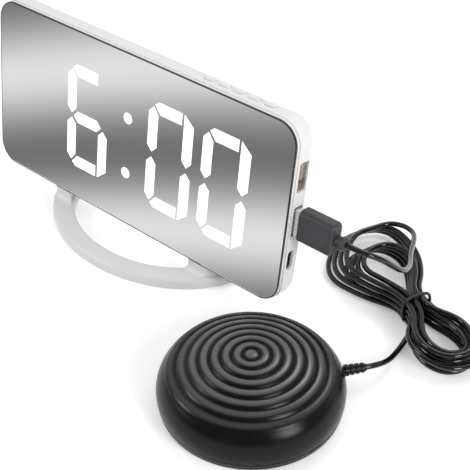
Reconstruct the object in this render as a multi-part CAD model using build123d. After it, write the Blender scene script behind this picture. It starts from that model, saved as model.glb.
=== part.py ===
from build123d import *
import os
from math import cos, radians, sin, sqrt, tan

# Bed shaker alarm clock: mirror clock on an oval ring stand, corded vibration puck.
# Millimetres, +Z up, the clock faces -Y, the table is Z = 0.
# The origin is the middle of the stand's front band, on its underside.

# Clock body
MIRROR_W = 177.4
MIRROR_H = 83.0
MIRROR_R = 10.0
MIRROR_T = 2.2
CASE_LIP = 0.5
CASE_D = 14.0
CASE_WALL = 1.8
BACK_R = 6.0
LEAN = 8.2
FACE_Y = 24.2
FOOT_Z = 10.43
FRAME_T = 1.8
FIT = 0.15
CASE_W = MIRROR_W + 2 * CASE_LIP
CASE_H = MIRROR_H + 2 * CASE_LIP
CASE_R = MIRROR_R + CASE_LIP
FACE_Z = FOOT_Z + CASE_H / 2 * cos(radians(LEAN))
INNER_BACK = -CASE_D + CASE_WALL
FRAME_BACK = -MIRROR_T - FRAME_T

# Display, as shares of the mirror
DIGIT_W = 0.1466 * MIRROR_W
DIGIT_H = 0.617 * MIRROR_H
STROKE = 5.6
SEGMENT_GAP = 1.2
DIGIT_PITCH = 0.1776 * MIRROR_W
FIRST_ZERO_X = 0.1297 * MIRROR_W
SIX_X = -0.1584 * MIRROR_W
COLON_X = -0.0135 * MIRROR_W
COLON_UP_V = 0.1373 * MIRROR_H
COLON_DOWN_V = -0.188 * MIRROR_H
COLON_R = 2.6
MASK_EDGE = 2.8
MASK_T = 4.0
BOARD_T = 1.6
LED_W = 2.0
LED_H = 1.6
LED_T = 0.8
MASK_BACK = -MIRROR_T - MASK_T

# Side sockets
USB_V = 13.1
USB_T = 5.7
USB_SKIN = 0.29
USB_LEN = 14.0
USB_UPPER_V = 18.3
USB_LOWER_V = -1.8
SOCKET_SET_IN = 0.8
TONGUE_V = 11.1
TONGUE_T = 1.65
TONGUE_REACH = 9.6
POWER_V = -20.4
POWER_WIDE = 8.94
POWER_T = 3.26
POWER_LEN = 7.4
PORT_BOARD_T = 1.2
PORT_BOARD_FRONT = -MIRROR_T - 0.3
SOCKET_FRONT = PORT_BOARD_FRONT - PORT_BOARD_T
USB_AXIS_W = SOCKET_FRONT - USB_T / 2
POWER_AXIS_W = SOCKET_FRONT - POWER_T / 2

# Top buttons
BUTTON_COUNT = 5
BUTTON_INSET = 52.2
BUTTON_PITCH = 8.0
BUTTON_L = 5.2
BUTTON_T = 3.2
BUTTON_PROUD = 0.9
BUTTON_AXIS_W = -6.8
BUTTON_TRAVEL = 0.5

# Screws, buzzer and cell
PILLAR_INSET_X = 9.2
PILLAR_INSET_V = 8.5
PILLAR_R = 3.4
PILLAR_END = -8.0
BUZZER_X = -42.0
BUZZER_R = 11.0
CELL_X = 10.0
CELL_V = -5.0
CELL_R = 10.0
CELL_T = 3.2
DOOR_L = 36.0
DOOR_H = 26.0
DOOR_T = 1.0

# Stand
RING_A = 58.5
RING_B = 45.0
RING_INNER_A = 46.5
RING_INNER_B = 36.0
RING_T = 5.0
RING_EDGE = 1.6
RING_Y = 40.9
RISER_FRONT = 18.5
RISER_BACK = 30.0
RISER_SWEEP = 3.5
TONGUE_X = 46.0
STAND_TONGUE_L = 11.0
STAND_TONGUE_T = 4.0
STAND_TONGUE_W = -7.4
STAND_TONGUE_H = 8.0

# Puck
PUCK_X = 109.2
PUCK_Y = -21.4
PUCK_R = 37.3
PUCK_WIDE_Z = 7.0
PUCK_WALL = 2.0
PUCK_SEAM_Z = 3.4
PUCK_SEAM = 0.3
PUCK_BASE_R = PUCK_R - 1.0
DOME_Z = 24.3
SHOULDER_R = PUCK_R - 3.7
SHOULDER_Z = 16.4
RIDGE_COUNT = 7
RIDGE_RISE = 0.8
DOT_R = 3.4
MOTOR_R = 8.0
MOTOR_FIT = 0.05
MOTOR_L = 24.0
MOTOR_Z = 11.3
MOTOR_X = -19.0
SHAFT_R = 1.0
SHAFT_END = 18.0
WEIGHT_R = 7.8
WEIGHT_X = 8.0
WEIGHT_L = 9.0
COVER_SCREW_R = PUCK_R - 8.3
COVER_SCREW_L = 11.0
CLAMP_SCREW_Y = 12.0
CLAMP_SCREW_LOW = 4.0
SHAFT_SET_IN = 8.0

# Cord, strain relief and plug
CORD_D = 2.4
CORD_SIDES = 8
RELIEF_ANGLE = 54.0
RELIEF_Z = 7.5
RELIEF_END = PUCK_R + 9.7
RELIEF_SHANK_R = 1.55
RELIEF_RIBS = 4
RELIEF_RIB_R = 2.4
PLUG_GAP = 3.0
PLUG_V = 14.6
PLUG_T = 7.8
PLUG_L = 17.0
PLUG_NECK_R = 2.35
PLUG_NECK_L = 2.6
PLUG_COLLAR_R = 3.1
PLUG_COLLAR_L = 2.2
PLUG_SHELL_V = 12.0
PLUG_SHELL_T = 4.5
PLUG_SHELL_REACH = 11.75
PLUG_SKIN = 0.3

# Hank
WAIST = Vector(131.4, 61.2, 0)
HANK_ANGLE = 157.0
HANK_BEND = -5.0
LEAD_SLANT = 10.0
HANK_LAYERS = 4
LAYER_STEP = 2.9
WAIST_STEP = 3.4
HANK_LIFT = 1.1
LOBE_L = 60.5
LOBE_NEAR_S = 0.45
LOBE_FAR_S = 0.46
LOBE_NEAR_H = 17.0
LOBE_FAR_H = 18.3
LOBE_SKEW = 10.0
LOBE_SPLAY = 22.5
LOBE_LEAN = 0.8
LOBE_SHRINK = 0.05
LOBE_IN = 0.777
LOBE_IN_SHRINK = 0.045
LOBE_IN_H = 0.905
LOBE_IN_LATE = 1.26
SMALL_LOBE_L = 32.5
SMALL_LOBE_STEP_L = 3.6
SMALL_LOBE_H = 6.2
SMALL_LOBE_STEP_H = 3.2
SMALL_LOBE_WIDE = 23.0
SMALL_LOBE_STEP_WIDE = 2.0
TIE_R = 0.45

SIDE_X = CASE_W / 2
TOP_V = CASE_H / 2
INNER_V = TOP_V - CASE_WALL
PILLAR_X = SIDE_X - PILLAR_INSET_X
PILLAR_V = TOP_V - PILLAR_INSET_V
BUTTON_X0 = SIDE_X - BUTTON_INSET
CLOCK = Plane(
    origin=(0, FACE_Y, FACE_Z),
    x_dir=(1, 0, 0),
    z_dir=(0, -cos(radians(LEAN)), sin(radians(LEAN))),
).location


def block(x0, x1, y0, y1, z0, z1):
    centre = Pos((x0 + x1) / 2, (y0 + y1) / 2, (z0 + z1) / 2)
    return centre * Box(x1 - x0, y1 - y0, z1 - z0)


def plate(width, height, radius, w0, w1, x=0.0, v=0.0):
    return extrude(Pos(x, v, w0) * RectangleRounded(width, height, radius), amount=w1 - w0)


def rod(radius, x, v, w0, w1):
    return Pos(x, v, (w0 + w1) / 2) * Cylinder(radius, w1 - w0)


def sideways(v, w, height, thick, radius, x0, x1):
    seat = Plane(origin=(x0, v, w), x_dir=(0, 1, 0), z_dir=(1, 0, 0))
    return extrude(seat * RectangleRounded(height, thick, radius), amount=x1 - x0)


def upright(x, w, length, thick, radius, v0, v1):
    seat = Plane(origin=(x, v0, w), x_dir=(1, 0, 0), z_dir=(0, 1, 0))
    return extrude(seat * RectangleRounded(length, thick, radius), amount=v1 - v0)


# Digit segments
HALF_W = DIGIT_W / 2
HALF_H = DIGIT_H / 2
MID_STROKE = HALF_W - STROKE / 2


def flip(points):
    return [(x, -v) for x, v in points]


SEGMENT_A = [
    (-HALF_W + STROKE / 2 + SEGMENT_GAP / 2, HALF_H - STROKE / 3),
    (-HALF_W + STROKE, HALF_H),
    (HALF_W - STROKE - SEGMENT_GAP, HALF_H),
    (HALF_W - STROKE - SEGMENT_GAP, HALF_H - STROKE),
    (-HALF_W + STROKE + SEGMENT_GAP, HALF_H - STROKE),
]
SEGMENT_B = [
    (HALF_W - STROKE, HALF_H),
    (HALF_W, HALF_H - 0.8 * STROKE),
    (HALF_W, SEGMENT_GAP + STROKE / 2),
    (MID_STROKE, SEGMENT_GAP),
    (HALF_W - STROKE, SEGMENT_GAP + STROKE / 2),
]
SEGMENT_F = [
    (-MID_STROKE, HALF_H - STROKE / 2),
    (-HALF_W + STROKE, HALF_H - STROKE - SEGMENT_GAP / 2),
    (-HALF_W + STROKE, SEGMENT_GAP + STROKE / 2),
    (-MID_STROKE, SEGMENT_GAP),
    (-HALF_W, SEGMENT_GAP + STROKE / 2),
    (-HALF_W, HALF_H - STROKE),
]
SEGMENT_G = [
    (-MID_STROKE + SEGMENT_GAP, 0),
    (-HALF_W + STROKE + SEGMENT_GAP, STROKE / 2),
    (HALF_W - STROKE - SEGMENT_GAP, STROKE / 2),
    (MID_STROKE - SEGMENT_GAP, 0),
    (HALF_W - STROKE - SEGMENT_GAP, -STROKE / 2),
    (-HALF_W + STROKE + SEGMENT_GAP, -STROKE / 2),
]
SEGMENTS = {
    "a": SEGMENT_A,
    "b": SEGMENT_B,
    "c": flip(SEGMENT_B),
    "d": flip(SEGMENT_A),
    "e": flip(SEGMENT_F),
    "f": SEGMENT_F,
    "g": SEGMENT_G,
}
LIT = [
    (SIX_X, "acdefg"),
    (FIRST_ZERO_X, "abcdef"),
    (FIRST_ZERO_X + DIGIT_PITCH, "abcdef"),
]
DIGIT_CENTRES = [
    SIX_X - DIGIT_PITCH,
    SIX_X,
    FIRST_ZERO_X,
    FIRST_ZERO_X + DIGIT_PITCH,
]
MASK_X = (DIGIT_CENTRES[0] + DIGIT_CENTRES[3]) / 2
MASK_W = DIGIT_CENTRES[3] - DIGIT_CENTRES[0] + DIGIT_W + 2 * MASK_EDGE
MASK_H = DIGIT_H + 2 * MASK_EDGE


def segment_face(centre, name):
    return make_face(Polyline(*[(centre + x, v) for x, v in SEGMENTS[name]], close=True))


def well(face, w0, w1):
    return extrude(Pos(0, 0, w0) * face, amount=w1 - w0)


lit_faces = [segment_face(centre, name) for centre, names in LIT for name in names]
colon_faces = [Pos(COLON_X, v) * Circle(COLON_R) for v in (COLON_UP_V, COLON_DOWN_V)]
all_faces = [segment_face(centre, name) for centre in DIGIT_CENTRES for name in SEGMENTS]
all_faces += colon_faces
LIGHT_BACK = MASK_BACK + LED_T

digit_segments = [well(face, LIGHT_BACK, 0) for face in lit_faces]
colon_dots = [well(face, LIGHT_BACK, 0) for face in colon_faces]

mirror_panel = plate(MIRROR_W, MIRROR_H, MIRROR_R, -MIRROR_T, 0)
mirror_panel -= [well(face, -MIRROR_T, 0) for face in lit_faces + colon_faces]

segment_mask = plate(MASK_W, MASK_H, 1.0, MASK_BACK, -MIRROR_T, MASK_X)
segment_mask -= [well(face, MASK_BACK, -MIRROR_T) for face in all_faces]

display_board = plate(MASK_W, MASK_H + 2, 1.0, MASK_BACK - BOARD_T, MASK_BACK, MASK_X)


def led_chip(face):
    middle = face.center()
    return Pos(middle.X, middle.Y, MASK_BACK + LED_T / 2) * Box(LED_W, LED_H, LED_T)


led_chips = [led_chip(face) for face in all_faces]

# Case: a tub with rounded back edges, open to the front
case_outer = plate(CASE_W, CASE_H, CASE_R, -CASE_D, -MIRROR_T)
case_outer = fillet(case_outer.faces().sort_by(Axis.Z)[0].edges(), BACK_R)
CAVITY_W = CASE_W - 2 * CASE_WALL
CAVITY_H = CASE_H - 2 * CASE_WALL
CAVITY_R = CASE_R - CASE_WALL
cavity = plate(CAVITY_W, CAVITY_H, CAVITY_R, INNER_BACK, -MIRROR_T)
cavity = fillet(cavity.faces().sort_by(Axis.Z)[0].edges(), BACK_R - CASE_WALL)
case_shell = case_outer - cavity

PILLARS = [(x, v) for x in (-PILLAR_X, PILLAR_X) for v in (-PILLAR_V, PILLAR_V)]
HEAD_SEAT = PILLAR_END - 1.4
SCREW_HEAD_R = 2.5
SCREW_R = 1.15
for x, v in PILLARS:
    case_shell += rod(PILLAR_R, x, v, INNER_BACK - 0.5, PILLAR_END)
for x, v in PILLARS:
    case_shell -= rod(SCREW_HEAD_R + 0.2, x, v, -CASE_D - 1, HEAD_SEAT)
    case_shell -= rod(SCREW_R + 0.2, x, v, HEAD_SEAT - 1, PILLAR_END + 1)

# Sleeves for the stand's tongues
SLEEVE_WALL = 1.0
SLEEVE_L = STAND_TONGUE_L + 2 * (FIT + SLEEVE_WALL)
SLEEVE_T = STAND_TONGUE_T + 2 * (FIT + SLEEVE_WALL)
SLEEVE_V = -TOP_V + STAND_TONGUE_H - 1
for x in (-TONGUE_X, TONGUE_X):
    case_shell += upright(x, STAND_TONGUE_W, SLEEVE_L, SLEEVE_T, 1.0, -INNER_V - 0.3, SLEEVE_V)
for x in (-TONGUE_X, TONGUE_X):
    slot_l = STAND_TONGUE_L + 2 * FIT
    slot_t = STAND_TONGUE_T + 2 * FIT
    case_shell -= upright(x, STAND_TONGUE_W, slot_l, slot_t, 0.6, -TOP_V - 1, SLEEVE_V + 1)

# Openings in the case for sockets, buttons, buzzer and cell
SOCKET_END = SIDE_X - SOCKET_SET_IN
for v in (USB_UPPER_V, USB_LOWER_V):
    case_shell -= sideways(v, USB_AXIS_W, USB_V + 0.4, USB_T + 0.4, 0.9, SIDE_X - 5, SIDE_X + 1)
power_hole_v = POWER_WIDE + 0.4
power_hole_t = POWER_T + 0.4
case_shell -= sideways(
    POWER_V, POWER_AXIS_W, power_hole_v, power_hole_t, power_hole_t / 2 - 0.05, SIDE_X - 5, SIDE_X + 1
)
BUTTON_XS = [BUTTON_X0 + BUTTON_PITCH * i for i in range(BUTTON_COUNT)]
for x in BUTTON_XS:
    hole_l = BUTTON_L + 2 * FIT
    hole_t = BUTTON_T + 2 * FIT
    case_shell -= upright(x, BUTTON_AXIS_W, hole_l, hole_t, 1.2 + FIT, INNER_V - 1, TOP_V + 1)
for i in range(5):
    case_shell -= plate(14 - abs(i - 2), 1.4, 0.69, -CASE_D - 1, INNER_BACK + 1, BUZZER_X, 3.2 * (i - 2))

DOOR_X = CELL_X + 1.0
DOOR_SCREW_X = DOOR_X + DOOR_L / 2 - 3.5
CELL_HOLE_X = CELL_X
case_shell += rod(2.4, DOOR_SCREW_X, CELL_V, INNER_BACK - 0.5, -8.3)
case_shell -= plate(DOOR_L, DOOR_H, 1.6, -CASE_D - 1, -CASE_D + DOOR_T, DOOR_X, CELL_V)
case_shell -= plate(24, 22, 1.6, -CASE_D - 1, INNER_BACK + 1, CELL_HOLE_X, CELL_V)
case_shell -= rod(1.1, DOOR_SCREW_X, CELL_V, -CASE_D - 1, -9.0)

battery_door = plate(DOOR_L - 2 * FIT, DOOR_H - 2 * FIT, 1.5, -CASE_D, -CASE_D + DOOR_T, DOOR_X, CELL_V)
for v in (CELL_V - 7, CELL_V + 7):
    edge = CELL_HOLE_X - 12
    battery_door += block(edge + 0.3, edge + 1.6, v - 2.5, v + 2.5, -CASE_D + DOOR_T - 0.2, INNER_BACK + 0.7)
    battery_door += block(edge - 2.2, edge + 1.6, v - 2.5, v + 2.5, INNER_BACK + 0.1, INNER_BACK + 0.7)
battery_door -= rod(2.15, DOOR_SCREW_X, CELL_V, -CASE_D - 1, -CASE_D + 0.6)
battery_door -= rod(1.2, DOOR_SCREW_X, CELL_V, -CASE_D - 1, -CASE_D + 2)
door_screw = rod(2.0, DOOR_SCREW_X, CELL_V, -CASE_D + 0.05, -CASE_D + 0.6)
door_screw += rod(0.95, DOOR_SCREW_X, CELL_V, -CASE_D + 0.3, -9.4)
door_screw -= block(
    DOOR_SCREW_X - 1.6, DOOR_SCREW_X + 1.6, CELL_V - 0.25, CELL_V + 0.25, -CASE_D - 1, -CASE_D + 0.35
)

# Front frame with its bosses
front_frame = plate(
    CAVITY_W - 2 * FIT, CAVITY_H - 2 * FIT, CAVITY_R - FIT, FRAME_BACK, -MIRROR_T
)
front_frame -= plate(MASK_W + 0.4, MASK_H + 0.4, 1.2, FRAME_BACK - 1, 0, MASK_X)
PORT_X0 = MASK_X + MASK_W / 2 + 2.0
PORT_X1 = SIDE_X - CASE_WALL - 0.5
PORT_H = 58.0
front_frame -= block(PORT_X0 - 0.2, SIDE_X, -PORT_H / 2 - 0.2, PORT_H / 2 + 0.2, FRAME_BACK - 1, 0)
for x, v in PILLARS:
    front_frame += rod(PILLAR_R - 0.4, x, v, PILLAR_END, FRAME_BACK + 0.5)
for x, v in PILLARS:
    front_frame -= rod(SCREW_R + 0.05, x, v, PILLAR_END - 1, FRAME_BACK + 0.6)


def case_screw(x, v):
    head = rod(SCREW_HEAD_R, x, v, HEAD_SEAT - 1.5, HEAD_SEAT)
    shank = rod(SCREW_R, x, v, HEAD_SEAT - 0.5, FRAME_BACK)
    cross = block(x - 1.5, x + 1.5, v - 0.3, v + 0.3, HEAD_SEAT - 2, HEAD_SEAT - 0.8)
    cross += block(x - 0.3, x + 0.3, v - 1.5, v + 1.5, HEAD_SEAT - 2, HEAD_SEAT - 0.8)
    return head + shank - cross


case_screws = [case_screw(x, v) for x, v in PILLARS]

# Port board, sockets and tongues
port_board = block(
    PORT_X0, PORT_X1, -PORT_H / 2, PORT_H / 2, SOCKET_FRONT, PORT_BOARD_FRONT
)


def usb_shell(v):
    hull = sideways(v, USB_AXIS_W, USB_V, USB_T, 0.8, SOCKET_END - USB_LEN, SOCKET_END)
    inner_v = USB_V - 2 * USB_SKIN
    inner_t = USB_T - 2 * USB_SKIN
    return hull - sideways(v, USB_AXIS_W, inner_v, inner_t, 0.5, 0, SIDE_X + 5)


TONGUE_W = USB_AXIS_W + 0.98


def usb_tongue(v):
    inner_v = USB_V - 2 * USB_SKIN
    inner_t = USB_T - 2 * USB_SKIN
    root = SOCKET_END - USB_LEN
    back = sideways(v, USB_AXIS_W, inner_v, inner_t, 0.5, root, root + 2)
    return back + sideways(v, TONGUE_W, TONGUE_V, TONGUE_T, 0.3, root + 1, root + TONGUE_REACH)


usb_socket_upper = usb_shell(USB_UPPER_V)
usb_socket_lower = usb_shell(USB_LOWER_V)
usb_tongue_upper = usb_tongue(USB_UPPER_V)
usb_tongue_lower = usb_tongue(USB_LOWER_V)

power_root = SOCKET_END - POWER_LEN
POWER_ROUND = POWER_T / 2 - 0.05
power_socket = sideways(POWER_V, POWER_AXIS_W, POWER_WIDE, POWER_T, POWER_ROUND, power_root, SOCKET_END)
power_socket -= sideways(
    POWER_V, POWER_AXIS_W, POWER_WIDE - 0.6, POWER_T - 0.6, POWER_ROUND - 0.3, power_root + 1, SIDE_X
)
power_tongue = sideways(POWER_V, POWER_AXIS_W, 6.7, 0.7, 0.3, power_root + 1, SOCKET_END - 1)

# Buttons, switches and their board
FLANGE_TOP = INNER_V - 0.2
FLANGE_T = 0.8
STEM_END = INNER_V - 2.8
SWITCH_TOP = STEM_END - BUTTON_TRAVEL - 0.1
SWITCH_T = 2.2
SWITCH_L = 4.2
BUTTON_BOARD_V = SWITCH_TOP - SWITCH_T
BUTTON_BOARD_EDGE = 3.5
BUTTON_BOARD_BACK = INNER_BACK + 1.2


def button(x):
    cap = upright(x, BUTTON_AXIS_W, BUTTON_L, BUTTON_T, 1.2, FLANGE_TOP - 0.3, TOP_V + BUTTON_PROUD)
    cap = fillet(cap.faces().sort_by(Axis.Y)[-1].edges(), 0.45)
    flange = upright(x, BUTTON_AXIS_W, BUTTON_L + 1.2, BUTTON_T + 0.8, 1.0, FLANGE_TOP - FLANGE_T, FLANGE_TOP)
    stem = upright(x, BUTTON_AXIS_W, 2.0, 1.8, 0.4, STEM_END, FLANGE_TOP - 0.4)
    return cap + flange + stem


buttons = [button(x) for x in BUTTON_XS]
tact_switches = [
    upright(x, BUTTON_AXIS_W, SWITCH_L, SWITCH_L - 0.8, 0.5, BUTTON_BOARD_V, SWITCH_TOP) for x in BUTTON_XS
]
button_board = block(
    BUTTON_XS[0] - BUTTON_BOARD_EDGE,
    BUTTON_XS[-1] + BUTTON_BOARD_EDGE,
    BUTTON_BOARD_V - PORT_BOARD_T,
    BUTTON_BOARD_V,
    BUTTON_BOARD_BACK,
    FRAME_BACK,
)

# Buzzer, cell and holder
BOARD_BACK = MASK_BACK - BOARD_T
buzzer = rod(BUZZER_R, BUZZER_X, 0, INNER_BACK, BOARD_BACK - 0.3)
buzzer -= rod(1.5, BUZZER_X, 0, INNER_BACK - 1, INNER_BACK + 1.2)
CELL_FLOOR = BOARD_BACK - 0.6
CELL_HOLDER_W = 2 * CELL_R + 5.0
cell_holder = plate(CELL_HOLDER_W, CELL_HOLDER_W, 2.0, CELL_FLOOR - CELL_T + 0.2, BOARD_BACK, CELL_X, CELL_V)
cell_holder -= rod(CELL_R + FIT, CELL_X, CELL_V, CELL_FLOOR - CELL_T - 1, CELL_FLOOR)
coin_cell = rod(CELL_R, CELL_X, CELL_V, CELL_FLOOR - CELL_T, CELL_FLOOR)
coin_cell = chamfer(coin_cell.edges().sort_by(Axis.Z)[0], 0.3)

# Stand: oval ring, risers on its sides and tongues into the case
ring_plan = Pos(0, RING_Y) * (Ellipse(RING_A, RING_B) - Ellipse(RING_INNER_A, RING_INNER_B))
ring = extrude(ring_plan, amount=RING_T)
ring = fillet(ring.faces().sort_by(Axis.Z)[-1].edges(), RING_EDGE)
ring = fillet(ring.faces().sort_by(Axis.Z)[0].edges(), 0.6)
flat_plan = Pos(0, RING_Y) * (
    Ellipse(RING_A - RING_EDGE, RING_B - RING_EDGE)
    - Ellipse(RING_INNER_A + RING_EDGE, RING_INNER_B + RING_EDGE)
)
SWEEP_START = RING_T - 0.1
SWEEP_TOP = SWEEP_START + RISER_SWEEP
sweep_middle = (
    RISER_FRONT - RISER_SWEEP * (1 - sin(radians(45))),
    SWEEP_TOP - RISER_SWEEP * cos(radians(45)),
)
RISER_TOP = RING_T + 12
riser_profile = [
    Line((RISER_BACK, RING_T - 2), (RISER_FRONT - RISER_SWEEP, RING_T - 2)),
    Line((RISER_FRONT - RISER_SWEEP, RING_T - 2), (RISER_FRONT - RISER_SWEEP, SWEEP_START)),
    ThreePointArc((RISER_FRONT - RISER_SWEEP, SWEEP_START), sweep_middle, (RISER_FRONT, SWEEP_TOP)),
    Line((RISER_FRONT, SWEEP_TOP), (RISER_FRONT, RISER_TOP)),
    Line((RISER_FRONT, RISER_TOP), (RISER_BACK, RISER_TOP)),
    Line((RISER_BACK, RISER_TOP), (RISER_BACK, RING_T - 2)),
]
riser_face = make_face([Edge(e.wrapped) for e in riser_profile])
riser_bar = extrude(Plane.YZ * riser_face, amount=RING_A, both=True)
above_case_foot = CLOCK * block(-CASE_W, CASE_W, -TOP_V, TOP_V, -60, 60)
risers = (riser_bar & extrude(flat_plan, amount=30)) - above_case_foot
stand = ring + risers
for x in (-TONGUE_X, TONGUE_X):
    tongue = upright(
        x, STAND_TONGUE_W, STAND_TONGUE_L, STAND_TONGUE_T, 0.5, -TOP_V - 2, -TOP_V + STAND_TONGUE_H
    )
    stand += CLOCK * tongue

# Puck cover: a dome of convex ridges, a round shoulder and a tucked-in foot
PUCK = Pos(PUCK_X, PUCK_Y, 0)
SAG = DOME_Z - SHOULDER_Z
DOME_R = (SHOULDER_R**2 + SAG**2) / (2 * SAG)
RIDGE_PITCH = (SHOULDER_R - DOT_R) / RIDGE_COUNT
INSIDE_DROP = 2.2


def dome(r):
    return DOME_Z - DOME_R + sqrt(DOME_R**2 - r**2)


def ridge(r0, r1):
    middle = ((r0 + r1) / 2, dome((r0 + r1) / 2) + RIDGE_RISE)
    return ThreePointArc((r1, dome(r1)), middle, (r0, dome(r0)))


def turned(edges):
    section = make_face([Edge(e.wrapped) for e in edges])
    return revolve(Plane.XZ * section, axis=Axis.Z)


COVER_FOOT_R = PUCK_R - 0.4
WIDEST = (PUCK_R, PUCK_WIDE_Z)
FLANK = (PUCK_R - 0.95, PUCK_WIDE_Z + 5.1)
FOOT = (COVER_FOOT_R, PUCK_SEAM_Z)
outside = [
    Line((0, PUCK_SEAM_Z), FOOT),
    ThreePointArc(FOOT, (PUCK_R - 0.12, PUCK_WIDE_Z - 2), WIDEST),
    ThreePointArc(WIDEST, FLANK, (SHOULDER_R, SHOULDER_Z)),
]
for i in reversed(range(RIDGE_COUNT)):
    outside.append(ridge(DOT_R + RIDGE_PITCH * i, DOT_R + RIDGE_PITCH * (i + 1)))
CROWN_Z = DOME_Z + RIDGE_RISE
CROWN = (0, CROWN_Z)
DOT_RISE = CROWN_Z - dome(DOT_R)
DOT_BALL_R = (DOT_R**2 + DOT_RISE**2) / (2 * DOT_RISE)
dot_middle = (DOT_R / 2, CROWN_Z - DOT_BALL_R + sqrt(DOT_BALL_R**2 - (DOT_R / 2) ** 2))
outside.append(ThreePointArc((DOT_R, dome(DOT_R)), dot_middle, CROWN))
outside.append(Line(CROWN, (0, PUCK_SEAM_Z)))

MOUTH_Z = PUCK_SEAM_Z - 1
MOUTH = (COVER_FOOT_R - PUCK_WALL, MOUTH_Z)
INNER_WIDE = (PUCK_R - PUCK_WALL, PUCK_WIDE_Z + 0.5)
INNER_FLANK = (PUCK_R - 3.0, PUCK_WIDE_Z + 4.2)
INNER_SHOULDER = (SHOULDER_R - 1.2, dome(SHOULDER_R - 1.2) - INSIDE_DROP)
INNER_MIDDLE = (SHOULDER_R / 2, dome(SHOULDER_R / 2) - INSIDE_DROP)
INNER_CROWN = (0, DOME_Z - INSIDE_DROP)
inside = [
    Line((0, MOUTH_Z), MOUTH),
    Line(MOUTH, INNER_WIDE),
    ThreePointArc(INNER_WIDE, INNER_FLANK, INNER_SHOULDER),
    ThreePointArc(INNER_SHOULDER, INNER_MIDDLE, INNER_CROWN),
    Line(INNER_CROWN, (0, MOUTH_Z)),
]
cover = turned(outside) - turned(inside)

SCREW_ANGLES = [90, 210, 330]
BASE_TOP = 2.6
COVER_SCREWS = [Rot(0, 0, a) * Pos(COVER_SCREW_R, 0, 0) for a in SCREW_ANGLES]
post_top = dome(COVER_SCREW_R) - INSIDE_DROP + 0.6
for spot in COVER_SCREWS:
    cover += spot * rod(3.0, 0, 0, BASE_TOP + 0.1, post_top)
for spot in COVER_SCREWS:
    cover -= spot * rod(1.25, 0, 0, 0, COVER_SCREW_L + 1)
RELIEF_TURN = Rot(0, 0, RELIEF_ANGLE)
relief_axis = RELIEF_TURN * Pos(0, 0, RELIEF_Z) * Rot(0, 90, 0)
cover -= relief_axis * rod(RELIEF_SHANK_R + FIT, 0, 0, PUCK_R - 4 * PUCK_WALL, PUCK_R + PUCK_WALL)
puck_cover = PUCK * cover

# Puck base with its spigot and motor cradle
BASE_EDGE_R = COVER_FOOT_R
SPIGOT_R = COVER_FOOT_R - PUCK_WALL - 0.25
base_points = [
    (0, 0),
    (PUCK_BASE_R - 0.5, 0),
    (PUCK_BASE_R, 0.5),
    (BASE_EDGE_R, PUCK_SEAM_Z - PUCK_SEAM),
    (SPIGOT_R, PUCK_SEAM_Z - PUCK_SEAM),
    (SPIGOT_R, PUCK_SEAM_Z + 1.0),
    (SPIGOT_R - 1.4, PUCK_SEAM_Z + 1.0),
    (SPIGOT_R - 1.4, BASE_TOP),
    (0, BASE_TOP),
]
base = revolve(Plane.XZ * make_face(Polyline(*base_points, close=True)), axis=Axis.Z)
CRADLE_TOP = 9.0
CLAMP_W = 8.0
CLAMP_X = MOTOR_X + MOTOR_L / 2
CLAMP_REACH = 14.5
base += block(MOTOR_X + 2, MOTOR_X + MOTOR_L - 2, -MOTOR_R - 1, MOTOR_R + 1, BASE_TOP - 0.5, CRADLE_TOP)
base += block(
    CLAMP_X - CLAMP_W / 2, CLAMP_X + CLAMP_W / 2, -CLAMP_REACH, CLAMP_REACH, BASE_TOP - 0.5, CRADLE_TOP
)
motor_axis = Pos(0, 0, MOTOR_Z) * Rot(0, 90, 0)
base -= motor_axis * rod(MOTOR_R + MOTOR_FIT, 0, 0, -PUCK_R, PUCK_R)
base -= block(MOTOR_X + MOTOR_L - 2, PUCK_R, -MOTOR_R - 1, MOTOR_R + 1, BASE_TOP, DOME_Z)
for spot in COVER_SCREWS:
    base -= spot * rod(1.7, 0, 0, -1, BASE_TOP + 1)
    base -= spot * rod(2.9, 0, 0, -1, 1.4)
CLAMP_SCREWS = [Pos(CLAMP_X, y, 0) for y in (-CLAMP_SCREW_Y, CLAMP_SCREW_Y)]
for spot in CLAMP_SCREWS:
    base -= spot * rod(0.9, 0, 0, CLAMP_SCREW_LOW - 0.4, CRADLE_TOP + 1)
puck_base = PUCK * base


def cover_screw(spot):
    body = rod(2.6, 0, 0, 0.3, 1.4) + rod(1.15, 0, 0, 1.0, COVER_SCREW_L)
    body -= block(-1.5, 1.5, -0.3, 0.3, -1, 0.8)
    return PUCK * spot * body


cover_screws = [cover_screw(spot) for spot in COVER_SCREWS]

# Motor, clamp, shaft and eccentric weight
motor_can = motor_axis * rod(MOTOR_R, 0, 0, MOTOR_X, MOTOR_X + MOTOR_L)
motor_can = fillet(motor_can.edges().filter_by(GeomType.CIRCLE), 0.8)
motor_can += motor_axis * rod(3.0, 0, 0, MOTOR_X + MOTOR_L - 0.5, MOTOR_X + MOTOR_L + 1.2)
motor_can -= motor_axis * rod(SHAFT_R + 0.05, 0, 0, MOTOR_X + SHAFT_SET_IN, MOTOR_X + MOTOR_L + 5)
motor_can = PUCK * motor_can

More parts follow.
